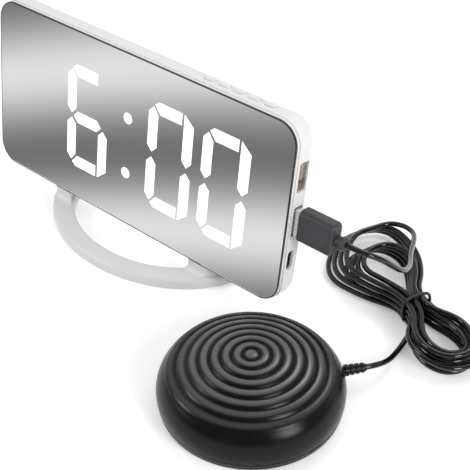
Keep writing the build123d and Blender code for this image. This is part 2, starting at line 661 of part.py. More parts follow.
clamp_arch = motor_axis * (
    rod(MOTOR_R + 1.2, 0, 0, CLAMP_X - CLAMP_W / 2, CLAMP_X + CLAMP_W / 2)
    - rod(MOTOR_R + MOTOR_FIT, 0, 0, CLAMP_X - CLAMP_W, CLAMP_X + CLAMP_W)
)
clamp_foot = block(
    CLAMP_X - CLAMP_W / 2, CLAMP_X + CLAMP_W / 2, -CLAMP_REACH, CLAMP_REACH, CRADLE_TOP, CRADLE_TOP + 1.2
)
clamp_foot -= motor_axis * rod(MOTOR_R + MOTOR_FIT, 0, 0, -PUCK_R, PUCK_R)
clamp = clamp_arch - block(-PUCK_R, PUCK_R, -PUCK_R, PUCK_R, 0, CRADLE_TOP) + clamp_foot
for spot in CLAMP_SCREWS:
    clamp -= spot * rod(1.1, 0, 0, 0, DOME_Z)
motor_clamp = PUCK * clamp
clamp_screw = rod(1.9, 0, 0, CRADLE_TOP + 1.2, CRADLE_TOP + 2.4)
clamp_screw += rod(0.85, 0, 0, CLAMP_SCREW_LOW, CRADLE_TOP + 1.5)
clamp_screws = [PUCK * spot * clamp_screw for spot in CLAMP_SCREWS]

SHAFT_START = MOTOR_X + SHAFT_SET_IN + 0.2
motor_shaft = PUCK * motor_axis * rod(SHAFT_R, 0, 0, SHAFT_START, SHAFT_END)
weight = rod(WEIGHT_R, 0, 0, WEIGHT_X, WEIGHT_X + WEIGHT_L)
weight -= block(-2, 20, -20, 20, WEIGHT_X - 1, WEIGHT_X + WEIGHT_L + 1)
weight += rod(3.2, 0, 0, WEIGHT_X, WEIGHT_X + WEIGHT_L)
weight -= rod(SHAFT_R, 0, 0, WEIGHT_X - 1, WEIGHT_X + WEIGHT_L + 1)
eccentric_weight = PUCK * motor_axis * Rot(0, 0, 180) * weight

# Strain relief: shank through the cover's wall, ribs outside, flange inside
RIB_START = PUCK_R + 0.9
RIB_PITCH = (RELIEF_END - RIB_START) / RELIEF_RIBS
relief = rod(RELIEF_SHANK_R, 0, 0, PUCK_R - PUCK_WALL - 1.6, RELIEF_END)
relief += rod(3.2, 0, 0, PUCK_R - PUCK_WALL - 1.9, PUCK_R - PUCK_WALL - 0.6)
for i in range(RELIEF_RIBS):
    start = RIB_START + RIB_PITCH * i
    relief += rod(RELIEF_RIB_R - 0.12 * i, 0, 0, start, start + 0.62 * RIB_PITCH)
strain_relief = PUCK * relief_axis * relief

# Plug
PLUG_X0 = SIDE_X + PLUG_GAP
PLUG_X1 = PLUG_X0 + PLUG_L
PLUG_END = PLUG_X1 + PLUG_NECK_L + PLUG_COLLAR_L
overmold = sideways(USB_LOWER_V, USB_AXIS_W, PLUG_V, PLUG_T, 2.6, PLUG_X0, PLUG_X1)
overmold = fillet(overmold.faces().sort_by(Axis.X)[-1].edges(), 1.8)
overmold = fillet(overmold.faces().sort_by(Axis.X)[0].edges(), 0.5)
plug_axis = Pos(0, USB_LOWER_V, USB_AXIS_W) * Rot(0, 90, 0)
overmold += plug_axis * rod(PLUG_NECK_R, 0, 0, PLUG_X1 - 1, PLUG_END)
collar = plug_axis * rod(PLUG_COLLAR_R, 0, 0, PLUG_END - PLUG_COLLAR_L, PLUG_END)
overmold += fillet(collar.edges().filter_by(GeomType.CIRCLE), 0.6)

PLUG_TIP = PLUG_X0 - PLUG_SHELL_REACH
PLUG_BORE_V = PLUG_SHELL_V - 2 * PLUG_SKIN
PLUG_BORE_T = PLUG_SHELL_T - 2 * PLUG_SKIN
plug_shell = sideways(USB_LOWER_V, USB_AXIS_W, PLUG_SHELL_V, PLUG_SHELL_T, 0.6, PLUG_TIP, PLUG_X0)
plug_shell -= sideways(
    USB_LOWER_V, USB_AXIS_W, PLUG_BORE_V, PLUG_BORE_T, 0.3, PLUG_TIP - 1, PLUG_X0 + 1
)
INSULATOR_T = 1.85
insulator_w = USB_AXIS_W - PLUG_BORE_T / 2 + INSULATOR_T / 2
plug_insulator = sideways(
    USB_LOWER_V, insulator_w, PLUG_BORE_V, INSULATOR_T, 0.3, PLUG_TIP + 0.3, PLUG_X0
)


# Cord: biarcs through formula points, an even-sided section swept along them
def unit(x, y, z=0.0):
    return Vector(x, y, z).normalized()


def biarc(p, t, q, u):
    v = q - p
    spread = 2 * (1 - t.dot(u))
    along = v.dot(t + u)
    reach = v.dot(v)
    if spread < 1e-9:
        d = reach / (2 * along)
    else:
        d = (sqrt(along**2 + spread * reach) - along) / spread
    a = p + t * d
    b = q - u * d
    joint = (a + b) * 0.5
    turn = (b - a).normalized()
    return [Edge.make_tangent_arc(p, t, joint), Edge.make_tangent_arc(joint, turn, q)]


def heading(angle):
    return unit(cos(radians(angle)), sin(radians(angle)))


HANK_OUT = heading(HANK_ANGLE)
HANK_SIDE = heading(HANK_ANGLE - 90)
SPLAY_OUT = heading(HANK_ANGLE + LOBE_SPLAY)
SPLAY_BACK = heading(HANK_ANGLE + 180 - LOBE_SPLAY)
SMALL_OUT = heading(HANK_ANGLE + HANK_BEND)
SMALL_SIDE = heading(HANK_ANGLE + HANK_BEND - 90)


def on_hank(s, e, z):
    return WAIST + HANK_OUT * s + HANK_SIDE * e + Vector(0, 0, z)


def on_small(s, e, z):
    return WAIST - SMALL_OUT * s + SMALL_SIDE * e + Vector(0, 0, z)


def layer_z(layer):
    return HANK_LIFT + CORD_D / 2 + LAYER_STEP * layer


def pass_place(index):
    layer = index // 2
    inner = index % 4 in (1, 2)
    return layer, inner


def waist_half(inner):
    return WAIST_STEP * (0.5 if inner else 1.5)


def lobe_nodes(index):
    layer, inner = pass_place(index)
    grow = LOBE_IN - LOBE_IN_SHRINK * layer if inner else 1.0 - LOBE_SHRINK * layer
    tall = grow * (LOBE_IN_H if inner else 1.0)
    reach = LOBE_L * grow
    late = LOBE_IN_LATE if inner else 1.0
    lean = LOBE_LEAN * layer
    z = layer_z(layer)
    return [
        (on_hank(LOBE_NEAR_S * late * reach, lean - LOBE_NEAR_H * tall, z), SPLAY_OUT),
        (on_hank(reach, lean + LOBE_SKEW * tall, z), HANK_SIDE),
        (on_hank(LOBE_FAR_S * late * reach, lean + LOBE_FAR_H * tall, z), SPLAY_BACK),
    ]


def small_lobe_nodes(index):
    layer, inner = pass_place(index)
    next_layer, next_inner = pass_place(index + 1)
    level = 2 - inner - next_inner
    length = SMALL_LOBE_L + SMALL_LOBE_STEP_L * level
    height = SMALL_LOBE_H + SMALL_LOBE_STEP_H * level
    wide = SMALL_LOBE_WIDE - SMALL_LOBE_STEP_WIDE * level
    z0 = layer_z(layer)
    z1 = layer_z(next_layer)
    climb = (SMALL_SIDE * -1 + Vector(0, 0, (z1 - z0) / (3 * height))).normalized()
    return [
        (on_small(wide, height, z0), SMALL_OUT * -1),
        (on_small(length, 0, (z0 + z1) / 2), climb),
        (on_small(wide, -height, z1), SMALL_OUT),
    ]


TURNS = 2 * HANK_LAYERS
hank_nodes = []
for turn in range(TURNS):
    layer, inner = pass_place(turn)
    hank_nodes.append((on_hank(0, -waist_half(inner), layer_z(layer)), HANK_OUT))
    hank_nodes += lobe_nodes(turn)
    if turn < TURNS - 1:
        hank_nodes.append((on_hank(0, waist_half(inner), layer_z(layer)), HANK_OUT * -1))
        hank_nodes += small_lobe_nodes(turn)
# The last pass ends at the large lobe's tip, where the plug lead leaves it
hank_nodes.pop()
# The first pass comes in aslant from the puck lead
hank_nodes[0] = (hank_nodes[0][0], heading(HANK_ANGLE - LEAD_SLANT))

hank_edges = []
for (p, t), (q, u) in zip(hank_nodes, hank_nodes[1:]):
    hank_edges += biarc(p, t, q, u)


def cord_tube(path, start, along):
    section = Plane(origin=start, z_dir=along) * RegularPolygon(CORD_D / 2, CORD_SIDES)
    return sweep(section, path=path)


hank_path = Wire(hank_edges)
hank_start, hank_heading = hank_nodes[0]
hank_end, hank_end_heading = hank_nodes[-1]
cord_hank = cord_tube(hank_path, hank_start, hank_heading)

# Free leads: straight runs joined by tangent arcs
relief_out = heading(RELIEF_ANGLE)
relief_tip = Vector(PUCK_X, PUCK_Y, RELIEF_Z) + relief_out * RELIEF_END
plug_end = (CLOCK * Pos(PLUG_END, USB_LOWER_V, USB_AXIS_W)).position
TABLE_Z = CORD_D / 2 + 0.2

puck_route = [
    relief_tip,
    relief_tip + relief_out * 6.5,
    Vector(141.6, 30.2, 3.2),
    Vector(139.6, 39.0, TABLE_Z),
    on_hank(-9.4, -9.2, TABLE_Z + 0.3),
    hank_start - hank_heading * 4.5,
    hank_start,
]
tip_high = layer_z(HANK_LAYERS - 1)
plug_route = [
    plug_end,
    plug_end + Vector(8.0, 0, 0),
    Vector(127.0, 36.5, 47.8),
    Vector(127.0, 47.0, 42.0),
    Vector(124.5, 59.5, 34.5),
    Vector(119.5, 71.5, 26.0),
    on_hank(21.0, 13.5, tip_high + 8.5),
    on_hank(30.0, 20.4, tip_high + 4.5),
    on_hank(38.4, 24.2, tip_high + 1.6),
    on_hank(46.2, 23.6, tip_high + 0.4),
    hank_end + hank_end_heading * 7.5,
    hank_end,
]


def route_path(points):
    radii = []
    for before, corner, after in zip(points, points[1:], points[2:]):
        t = (corner - before).normalized()
        u = (after - corner).normalized()
        half_turn = radians(t.get_angle(u)) / 2
        shorter = min((corner - before).length, (after - corner).length)
        radii.append(0.45 * shorter / tan(half_turn))
    return FilletPolyline(*points, radius=radii), radii


def lead(name, points):
    path, radii = route_path(points)
    body = cord_tube(path, points[0], (points[1] - points[0]).normalized())
    sharpest = max(
        (b - a).get_angle(c - b) for a, b, c in zip(points, points[1:], points[2:])
    )
    print(name, "runs", [round((b - a).length, 1) for a, b in zip(points, points[1:])])
    print(name, "radii", [round(r, 1) for r in radii], "sharpest turn", round(sharpest, 1))
    return body, path.length


cord_puck_lead, puck_lead_length = lead("puck lead", puck_route)
cord_plug_lead, plug_lead_length = lead("plug lead", plug_route)

# Wire tie round the waist
TIE_GAP = 0.3
tie_half = 1.5 * WAIST_STEP + CORD_D / 2 + TIE_GAP + TIE_R
tie_low = HANK_LIFT - TIE_GAP / 2 - TIE_R
tie_high = layer_z(HANK_LAYERS - 1) + CORD_D / 2 + TIE_GAP + TIE_R
tie_plane = Plane(
    origin=WAIST + Vector(0, 0, (tie_low + tie_high) / 2), x_dir=HANK_SIDE, z_dir=HANK_OUT
)
tie_path = (tie_plane * RectangleRounded(2 * tie_half, tie_high - tie_low, 2.0)).wire()
tie_start = tie_path.position_at(0)
tie_section = Plane(origin=tie_start, z_dir=tie_path.tangent_at(0)) * RegularPolygon(TIE_R, 6)
cord_tie = sweep(tie_section, path=tie_path)

# Checks of the cord
section_area = RegularPolygon(CORD_D / 2, CORD_SIDES).area
for name, body, length in (
    ("hank", cord_hank, hank_path.length),
    ("puck lead", cord_puck_lead, puck_lead_length),
    ("plug lead", cord_plug_lead, plug_lead_length),
):
    print(name, "length", round(length, 1), "volume ratio", round(body.volume / (section_area * length), 4))
samples = int(hank_path.length / 1.5)
hank_points = [hank_path.position_at(i / samples) for i in range(samples + 1)]
coords = [(p.X, p.Y, p.Z) for p in hank_points]
least = 1e9
for i, (ax, ay, az) in enumerate(coords):
    for bx, by, bz in coords[i + 6:]:
        square = (ax - bx) ** 2 + (ay - by) ** 2 + (az - bz) ** 2
        least = min(least, square)
print("least gap between strands", round(sqrt(least) - CORD_D, 2))

# Parts
in_clock = {
    "mirror_panel": mirror_panel,
    "digit_segments": digit_segments,
    "colon_dots": colon_dots,
    "segment_mask": segment_mask,
    "led_chips": led_chips,
    "display_board": display_board,
    "front_frame": front_frame,
    "case_shell": case_shell,
    "case_screws": case_screws,
    "port_board": port_board,
    "usb_socket_upper": usb_socket_upper,
    "usb_tongue_upper": usb_tongue_upper,
    "usb_socket_lower": usb_socket_lower,
    "usb_tongue_lower": usb_tongue_lower,
    "power_socket": power_socket,
    "power_tongue": power_tongue,
    "button_board": button_board,
    "tact_switches": tact_switches,
    "buzzer": buzzer,
    "cell_holder": cell_holder,
    "coin_cell": coin_cell,
    "battery_door": battery_door,
    "door_screw": door_screw,
    "plug_overmold": overmold,
    "plug_shell": plug_shell,
    "plug_insulator": plug_insulator,
}
for i, shape in enumerate(buttons):
    in_clock["top_button_" + str(i + 1)] = shape
on_table = {
    "stand": stand,
    "puck_cover": puck_cover,
    "puck_base": puck_base,
    "cover_screws": cover_screws,
    "motor_can": motor_can,
    "motor_clamp": motor_clamp,
    "clamp_screws": clamp_screws,
    "motor_shaft": motor_shaft,
    "eccentric_weight": eccentric_weight,
    "strain_relief": strain_relief,
    "cord_puck_lead": cord_puck_lead,
    "cord_hank": cord_hank,
    "cord_tie": cord_tie,
    "cord_plug_lead": cord_plug_lead,
}


def solids_of(shape):
    pieces = shape if isinstance(shape, list) else [shape]
    return [solid for piece in pieces for solid in piece.solids()]


os.makedirs("parts", exist_ok=True)
for placed, group in ((CLOCK, in_clock), (Location(), on_table)):
    for name, shape in group.items():
        solids = [placed * solid for solid in solids_of(shape)]
        whole = solids[0] if len(solids) == 1 else Compound(children=solids)
        box = whole.bounding_box()
        print(
            name, len(solids), "volume", round(whole.volume, 1),
            "low", [round(c, 1) for c in box.min], "high", [round(c, 1) for c in box.max],
        )
        export_step(whole, "parts/" + name + ".step")
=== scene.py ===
import math

import bpy
from mathutils import Matrix, Vector


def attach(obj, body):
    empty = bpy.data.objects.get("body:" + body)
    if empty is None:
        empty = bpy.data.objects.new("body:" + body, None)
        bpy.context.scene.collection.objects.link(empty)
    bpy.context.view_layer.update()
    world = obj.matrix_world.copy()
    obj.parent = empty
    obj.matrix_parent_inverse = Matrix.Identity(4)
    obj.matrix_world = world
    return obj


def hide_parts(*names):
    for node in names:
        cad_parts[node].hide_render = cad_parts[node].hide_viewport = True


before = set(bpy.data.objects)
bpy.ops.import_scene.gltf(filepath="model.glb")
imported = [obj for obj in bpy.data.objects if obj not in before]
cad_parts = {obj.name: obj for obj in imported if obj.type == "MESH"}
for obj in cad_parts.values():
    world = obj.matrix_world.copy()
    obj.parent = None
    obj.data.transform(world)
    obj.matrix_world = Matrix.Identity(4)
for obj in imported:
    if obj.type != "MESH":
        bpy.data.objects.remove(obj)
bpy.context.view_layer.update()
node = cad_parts
scene = bpy.context.scene
scene.view_settings.view_transform = "Standard"
MM = 0.001

# Camera at the photograph's viewpoint
CAMERA_AT = (0.30538, -0.25716, 0.31502)
CAMERA_TILT = 52.737
CAMERA_TURN = 40.943
CAMERA_LENS = 84.26
SENSOR_WIDTH = 36
CLIP_START = 0.01
camera = bpy.data.objects.new("camera", bpy.data.cameras.new("camera"))
scene.collection.objects.link(camera)
camera.location = CAMERA_AT
camera.rotation_euler = (math.radians(CAMERA_TILT), 0, math.radians(CAMERA_TURN))
camera.data.sensor_width = SENSOR_WIDTH
camera.data.lens = CAMERA_LENS
camera.data.clip_start = CLIP_START
scene.camera = camera

# The clock's tilted frame: x across, v up the face, w out of the face, in millimetres
LEAN = math.radians(8.2)
FACE_Y = 24.2
FACE_Z = 52.0
CLOCK = Matrix((
    (1, 0, 0, 0),
    (0, math.sin(LEAN), -math.cos(LEAN), FACE_Y),
    (0, math.cos(LEAN), math.sin(LEAN), FACE_Z),
    (0, 0, 0, 1),
))
FACE_NORMAL = (0, -math.cos(LEAN), math.sin(LEAN))
FACE_UP = (0, math.sin(LEAN), math.cos(LEAN))
PLUG_END = CLOCK @ Vector((114.0, -1.8, -6.55))

# Mirror panel, millimetres
MIRROR_W = 177.4
MIRROR_H = 83.0
MIRROR_R = 10.0
EDGE_LINE = 0.85
FACE_BORDER = 0.45

# Puck with a dot and seven ridges on its cover, millimetres
PUCK_X = 109.2
PUCK_Y = -21.4
DOT_R = 3.4
SHOULDER_R = 33.6
RIDGES = 7
RIDGE_PITCH = (SHOULDER_R - DOT_R) / RIDGES
RELIEF_ANGLE = 54.0
RELIEF_Z = 7.5
RELIEF_REACH = 47.0

# Cord route, millimetres, with the cord's length in metres
CORD_D = 2.4
WAIST = Vector((131.4, 61.2, 0))
HANK_ANGLE = 157.0
HANK_BEND = -5.0
LEAD_SLANT = 4.0
HANK_LAYERS = 4
LAYER_STEP = 2.9
WAIST_STEP = 3.4
HANK_LIFT = 1.1
LOBE_L = 60.5
LOBE_NEAR_S = 0.45
LOBE_FAR_S = 0.46
LOBE_NEAR_H = 17.0
LOBE_FAR_H = 18.3
LOBE_SKEW = 10.0
LOBE_SPLAY = 22.5
LOBE_LEAN = 0.8
LOBE_SHRINK = 0.05
LOBE_IN = 0.777
LOBE_IN_SHRINK = 0.045
LOBE_IN_H = 0.905
LOBE_IN_LATE = 1.26
LOBE_IN_SKEW = 5.0
SMALL_LOBE_L = 33.5
SMALL_LOBE_STEP_L = 2.9
SMALL_LOBE_H = 8.2
SMALL_LOBE_STEP_H = 2.8
SMALL_LOBE_WIDE = 24.8
SMALL_LOBE_STEP_WIDE = 1.2
SAME_HEADING = 1e-6


def heading(angle):
    return Vector((math.cos(math.radians(angle)), math.sin(math.radians(angle)), 0))


HANK_OUT = heading(HANK_ANGLE)
HANK_SIDE = heading(HANK_ANGLE - 90)
SPLAY_OUT = heading(HANK_ANGLE + LOBE_SPLAY)
SPLAY_BACK = heading(HANK_ANGLE + 180 - LOBE_SPLAY)
SMALL_OUT = heading(HANK_ANGLE + HANK_BEND)
SMALL_SIDE = heading(HANK_ANGLE + HANK_BEND - 90)
RELIEF_OUT = heading(RELIEF_ANGLE)
RELIEF_TIP = Vector((PUCK_X, PUCK_Y, RELIEF_Z)) + RELIEF_OUT * RELIEF_REACH


def on_hank(s, e, z):
    return WAIST + HANK_OUT * s + HANK_SIDE * e + Vector((0, 0, z))


def on_small(s, e, z):
    return WAIST - SMALL_OUT * s + SMALL_SIDE * e + Vector((0, 0, z))


def layer_z(layer):
    return HANK_LIFT + CORD_D / 2 + LAYER_STEP * layer


def is_inner(turn):
    return turn % 4 in (1, 2)


def waist_half(turn):
    return WAIST_STEP * (0.5 if is_inner(turn) else 1.5)


def large_lobe(turn):
    layer = turn // 2
    inner = is_inner(turn)
    grow = LOBE_IN - LOBE_IN_SHRINK * layer if inner else 1.0 - LOBE_SHRINK * layer
    tall = grow * (LOBE_IN_H if inner else 1.0)
    reach = LOBE_L * grow
    late = LOBE_IN_LATE if inner else 1.0
    skew = LOBE_IN_SKEW if inner else LOBE_SKEW
    lean = LOBE_LEAN * layer
    z = layer_z(layer)
    return [
        (on_hank(LOBE_NEAR_S * late * reach, lean - LOBE_NEAR_H * tall, z), SPLAY_OUT),
        (on_hank(reach, lean + skew * tall, z), HANK_SIDE),
        (on_hank(LOBE_FAR_S * late * reach, lean + LOBE_FAR_H * tall, z), SPLAY_BACK),
    ]


def small_lobe(turn):
    level = 2 - is_inner(turn) - is_inner(turn + 1)
    length = SMALL_LOBE_L + SMALL_LOBE_STEP_L * level
    height = SMALL_LOBE_H + SMALL_LOBE_STEP_H * level
    wide = SMALL_LOBE_WIDE - SMALL_LOBE_STEP_WIDE * level
    z0 = layer_z(turn // 2)
    z1 = layer_z((turn + 1) // 2)
    climb = (Vector((0, 0, (z1 - z0) / (3 * height))) - SMALL_SIDE).normalized()
    return [
        (on_small(wide, height, z0), -SMALL_OUT),
        (on_small(length, 0, (z0 + z1) / 2), climb),
        (on_small(wide, -height, z1), SMALL_OUT),
    ]


def hank_points():
    """Control points of the wound turns, two between each place and heading that the cord passes."""
    places = []
    turns = 2 * HANK_LAYERS
    for turn in range(turns):
        z = layer_z(turn // 2)
        places.append((on_hank(0, -waist_half(turn), z), HANK_OUT))
        places += large_lobe(turn)
        if turn < turns - 1:
            places.append((on_hank(0, waist_half(turn), z), -HANK_OUT))
            places += small_lobe(turn)
    places.pop()
    places[0] = (places[0][0], heading(HANK_ANGLE - LEAD_SLANT))
    points = []
    for (p, t), (q, u) in zip(places, places[1:]):
        v = q - p
        spread = 2 * (1 - t.dot(u))
        along = v.dot(t + u)
        if spread < SAME_HEADING:
            d = v.dot(v) / (2 * along)
        else:
            d = (math.sqrt(along**2 + spread * v.dot(v)) - along) / spread
        points += [p + t * d, q - u * d]
    return places[0], points, places[-1]


(hank_start, start_heading), hank_turns, (hank_end, end_heading) = hank_points()
TOP_Z = layer_z(HANK_LAYERS - 1)
TABLE_GAP = 0.2
TABLE_Z = CORD_D / 2 + TABLE_GAP

# Lead from the puck over the table to the hank
puck_lead = [
    RELIEF_TIP,
    RELIEF_TIP + RELIEF_OUT * 4.5,
    Vector((139.6, 29.2, 3.6)),
    Vector((138.0, 38.4, TABLE_Z)),
    Vector((136.6, 47.0, TABLE_Z + 0.2)),
    hank_start - start_heading * 6.5,
    hank_start,
]

# Lead from the hank, sagging below the plug
plug_lead = [
    hank_end,
    hank_end + end_heading * 7.5,
    on_hank(46.4, 23.4, TOP_Z + 0.4),
    on_hank(39.0, 23.6, TOP_Z + 1.6),
    on_hank(31.4, 19.0, TOP_Z + 4.0),
    Vector((117.5, 75.0, 20.5)),
    Vector((124.5, 64.0, 25.0)),
    Vector((129.0, 53.0, 30.4)),
    Vector((130.0, 44.5, 37.0)),
    Vector((127.2, 36.2, 45.6)),
    PLUG_END + Vector((7.5, 0, 0)),
    PLUG_END,
]

SPLINE_ORDER = 3
STEPS_ALONG = 10
STEPS_AROUND = 5


def tube(name, points, diameter, cyclic=False):
    curve = bpy.data.curves.new(name, "CURVE")
    curve.dimensions = "3D"
    spline = curve.splines.new("NURBS")
    spline.points.add(len(points) - 1)
    for slot, p in zip(spline.points, points):
        slot.co = (p.x * MM, p.y * MM, p.z * MM, 1)
        slot.radius = diameter / 2 * MM
    spline.order_u = SPLINE_ORDER
    spline.use_endpoint_u = not cyclic
    spline.use_cyclic_u = cyclic
    spline.resolution_u = STEPS_ALONG
    curve.bevel_depth = 1.0
    curve.bevel_resolution = STEPS_AROUND
    curve.use_fill_caps = not cyclic
    piece = bpy.data.objects.new(name, curve)
    scene.collection.objects.link(piece)
    return piece


cord = tube("shaker_cord", puck_lead + hank_turns + plug_lead, CORD_D)
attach(cord, "shaker")
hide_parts("cord_puck_lead", "cord_hank", "cord_plug_lead")

# Wire tie round the hank's waist, millimetres
TIE_D = 1.3
TIE_HALF = 6.95
TIE_LOW = 0.5
TIE_HIGH = 12.95
TIE_SLANT = 0.5
TIE_POINTS = 16
TIE_SQUARENESS = 0.55


def squared(value):
    return math.copysign(abs(value) ** TIE_SQUARENESS, value)


def tie_points():
    middle = (TIE_LOW + TIE_HIGH) / 2
    tall = (TIE_HIGH - TIE_LOW) / 2
    points = []
    for i in range(TIE_POINTS):
        a = 2 * math.pi * i / TIE_POINTS
        c, s = math.cos(a), math.sin(a)
        points.append(on_hank(TIE_SLANT * s, TIE_HALF * squared(c), middle + tall * squared(s)))
    return points


def as_mesh(piece):
    name = piece.name
    curve = piece.data
    mesh = bpy.data.meshes.new_from_object(piece)
    bpy.data.objects.remove(piece)
    bpy.data.curves.remove(curve)
    made = bpy.data.objects.new(name, mesh)
    scene.collection.objects.link(made)
    return made


tie = as_mesh(tube("wire_tie", tie_points(), TIE_D, cyclic=True))
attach(tie, "shaker")
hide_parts("cord_tie")


# Materials
class Look:
    """A Principled material and the nodes that feed it, in the object's own metres."""

    def __init__(self, name, roughness=0.4, metallic=0.0, specular=0.5):
        self.material = bpy.data.materials.new(name)
        self.material.use_nodes = True
        self.tree = self.material.node_tree
        self.shader = self.tree.nodes["Principled BSDF"]
        self.shader.inputs["Roughness"].default_value = roughness
        self.shader.inputs["Metallic"].default_value = metallic
        self.shader.inputs["Specular IOR Level"].default_value = specular
        place = self.add("ShaderNodeTexCoord")
        self.place = place.outputs["Object"]
        self.normal = place.outputs["Normal"]

    def add(self, kind, **values):
        made = self.tree.nodes.new(kind)
        for key, value in values.items():
            made.inputs[key].default_value = value
        return made

    def link(self, source, target):
        self.tree.links.new(source, target)

    def feed(self, source, socket):
        self.link(source, self.shader.inputs[socket])

    def texture(self, kind, **values):
        made = self.add(kind, **values)
        self.link(self.place, made.inputs["Vector"])
        return made.outputs

    def noise(self, scale, detail=2.0):
        return self.texture("ShaderNodeTexNoise", Scale=scale, Detail=detail)["Fac"]

    def ramp(self, source, *stops):
        made = self.add("ShaderNodeValToRGB")
        for element, (place, colour) in zip(made.color_ramp.elements, stops):
            element.position = place
            element.color = (*colour, 1)
        self.link(source, made.inputs["Fac"])
        return made.outputs["Color"]

    def spread(self, source, low, high, start=0.3, end=0.7):
        made = self.add("ShaderNodeMapRange")
        limits = {"From Min": start, "From Max": end, "To Min": low, "To Max": high}
        for key, value in limits.items():
            made.inputs[key].default_value = value
        self.link(source, made.inputs["Value"])
        return made.outputs["Result"]

    def maths(self, operation, *values):
        made = self.add("ShaderNodeMath")
        made.operation = operation
        for value, socket in zip(values, made.inputs):
            if isinstance(value, (int, float)):
                socket.default_value = value
            else:
                self.link(value, socket)
        return made.outputs[0]

    def vector(self, operation, source, *constants):
        made = self.add("ShaderNodeVectorMath")
        made.operation = operation
        self.link(source, made.inputs[0])
        for i, value in enumerate(constants, 1):
            made.inputs[i].default_value = value
        return made.outputs

    def along(self, source, direction):
        return self.vector("DOT_PRODUCT", source, direction)["Value"]

    def split(self):
        made = self.add("ShaderNodeSeparateXYZ")
        self.link(self.place, made.inputs["Vector"])
        return made.outputs

    def blend(self, fac, first, second):
        made = self.add("ShaderNodeMix")
        made.data_type = "RGBA"
        self.link(fac, made.inputs["Factor"])
        for value, socket in ((first, made.inputs[6]), (second, made.inputs[7])):
            if isinstance(value, tuple):
                socket.default_value = (*value, 1)
            else:
                self.link(value, socket)
        return made.outputs[2]

    def bump(self, height, depth):
        made = self.add("ShaderNodeBump", Strength=1.0, Distance=depth)
        self.link(height, made.inputs["Height"])
        self.feed(made.outputs["Normal"], "Normal")


def shade(colour, k):
    return tuple(c * k for c in colour)


# Noise scale and detail: colour drift across a moulding, and patches of its finish
DRIFT_NOISE = (28.0, 3.0)
FINISH_NOISE = (160.0, 4.0)
TONE_START = 0.3
TONE_END = 0.7


def moulded(name, colour, rough, grain=2600, depth=0.00002, drift=0.06, swing=0.05, specular=0.5):
    """Moulded plastic: slow colour drift, fine grain in the bump, roughness that wanders."""
    look = Look(name, rough, 0.0, specular)
    pale = (TONE_END, shade(colour, 1 + drift))
    deep = (TONE_START, shade(colour, 1 - drift))
    look.feed(look.ramp(look.noise(*DRIFT_NOISE), deep, pale), "Base Color")
    look.feed(look.spread(look.noise(*FINISH_NOISE), rough - swing, rough + swing), "Roughness")
    look.bump(look.noise(grain), depth)
    return look


STREAK_STRETCH = (900.0, 40.0, 900.0)
STREAK_SCALE = 3.0
STREAK_DETAIL = 3.0
STREAK_SHADE = 0.86
STREAK_SWING = 0.08
STREAK_DEPTH = 0.000006


def metal(name, colour, rough):
    """Drawn or turned metal: fine streaks in tone and roughness."""
    look = Look(name, rough, 1.0)
    scaled = look.texture("ShaderNodeMapping", Scale=STREAK_STRETCH)
    lines = look.add("ShaderNodeTexNoise", Scale=STREAK_SCALE, Detail=STREAK_DETAIL)
    look.link(scaled["Vector"], lines.inputs["Vector"])
    fac = lines.outputs["Fac"]
    deep = (TONE_START, shade(colour, STREAK_SHADE))
    look.feed(look.ramp(fac, deep, (TONE_END, colour)), "Base Color")
    look.feed(look.spread(fac, rough - STREAK_SWING, rough + STREAK_SWING), "Roughness")
    look.bump(fac, STREAK_DEPTH)
    return look


MASK_ROUGH = 0.38
MASK_NOISE = (240.0, 4.0)
MASK_DARK = (0.008, 0.09, 0.035)
MASK_LIGHT = (0.02, 0.15, 0.06)
TRACE_SCALE = 260.0
TRACE_WIDTH = 0.03
TRACE_GREEN = (0.03, 0.21, 0.08)
TRACE_DEPTH = 0.00003
PAD_SCALE = 330.0
PAD_INNER = 0.12
PAD_OUTER = 0.16
PAD_TIN = (0.62, 0.6, 0.55)


def circuit(name):
    """Solder mask over copper: broad pours, a lattice of traces and bright pads."""
    look = Look(name, MASK_ROUGH)
    cells = look.texture("ShaderNodeTexBrick", **{"Scale": TRACE_SCALE, "Mortar Size": TRACE_WIDTH})
    pads = look.texture("ShaderNodeTexVoronoi", Scale=PAD_SCALE)
    dots = look.spread(pads["Distance"], 1.0, 0.0, PAD_INNER, PAD_OUTER)
    mask = look.blend(look.noise(*MASK_NOISE), MASK_DARK, MASK_LIGHT)
    lined = look.blend(cells["Fac"], mask, TRACE_GREEN)
    look.feed(look.blend(dots, lined, PAD_TIN), "Base Color")
    look.bump(cells["Fac"], TRACE_DEPTH)
    return look


FACING = 0.9
EDGE_WHITE = (0.8, 0.8, 0.8)
EDGE_BLACK = (0.012, 0.012, 0.013)
EDGE_ROUGH = 0.35
SILVER_NOISE = (11.0, 3.0)
SILVER_DULL = (0.9, 0.9, 0.905)
SILVER_CLEAN = (0.96, 0.96, 0.965)
SMEAR_NOISE = (45.0, 5.0)
SMEAR_CLEAN = 0.008
SMEAR_DULL = 0.035
SMEAR_START = 0.45
SMEAR_END = 0.75


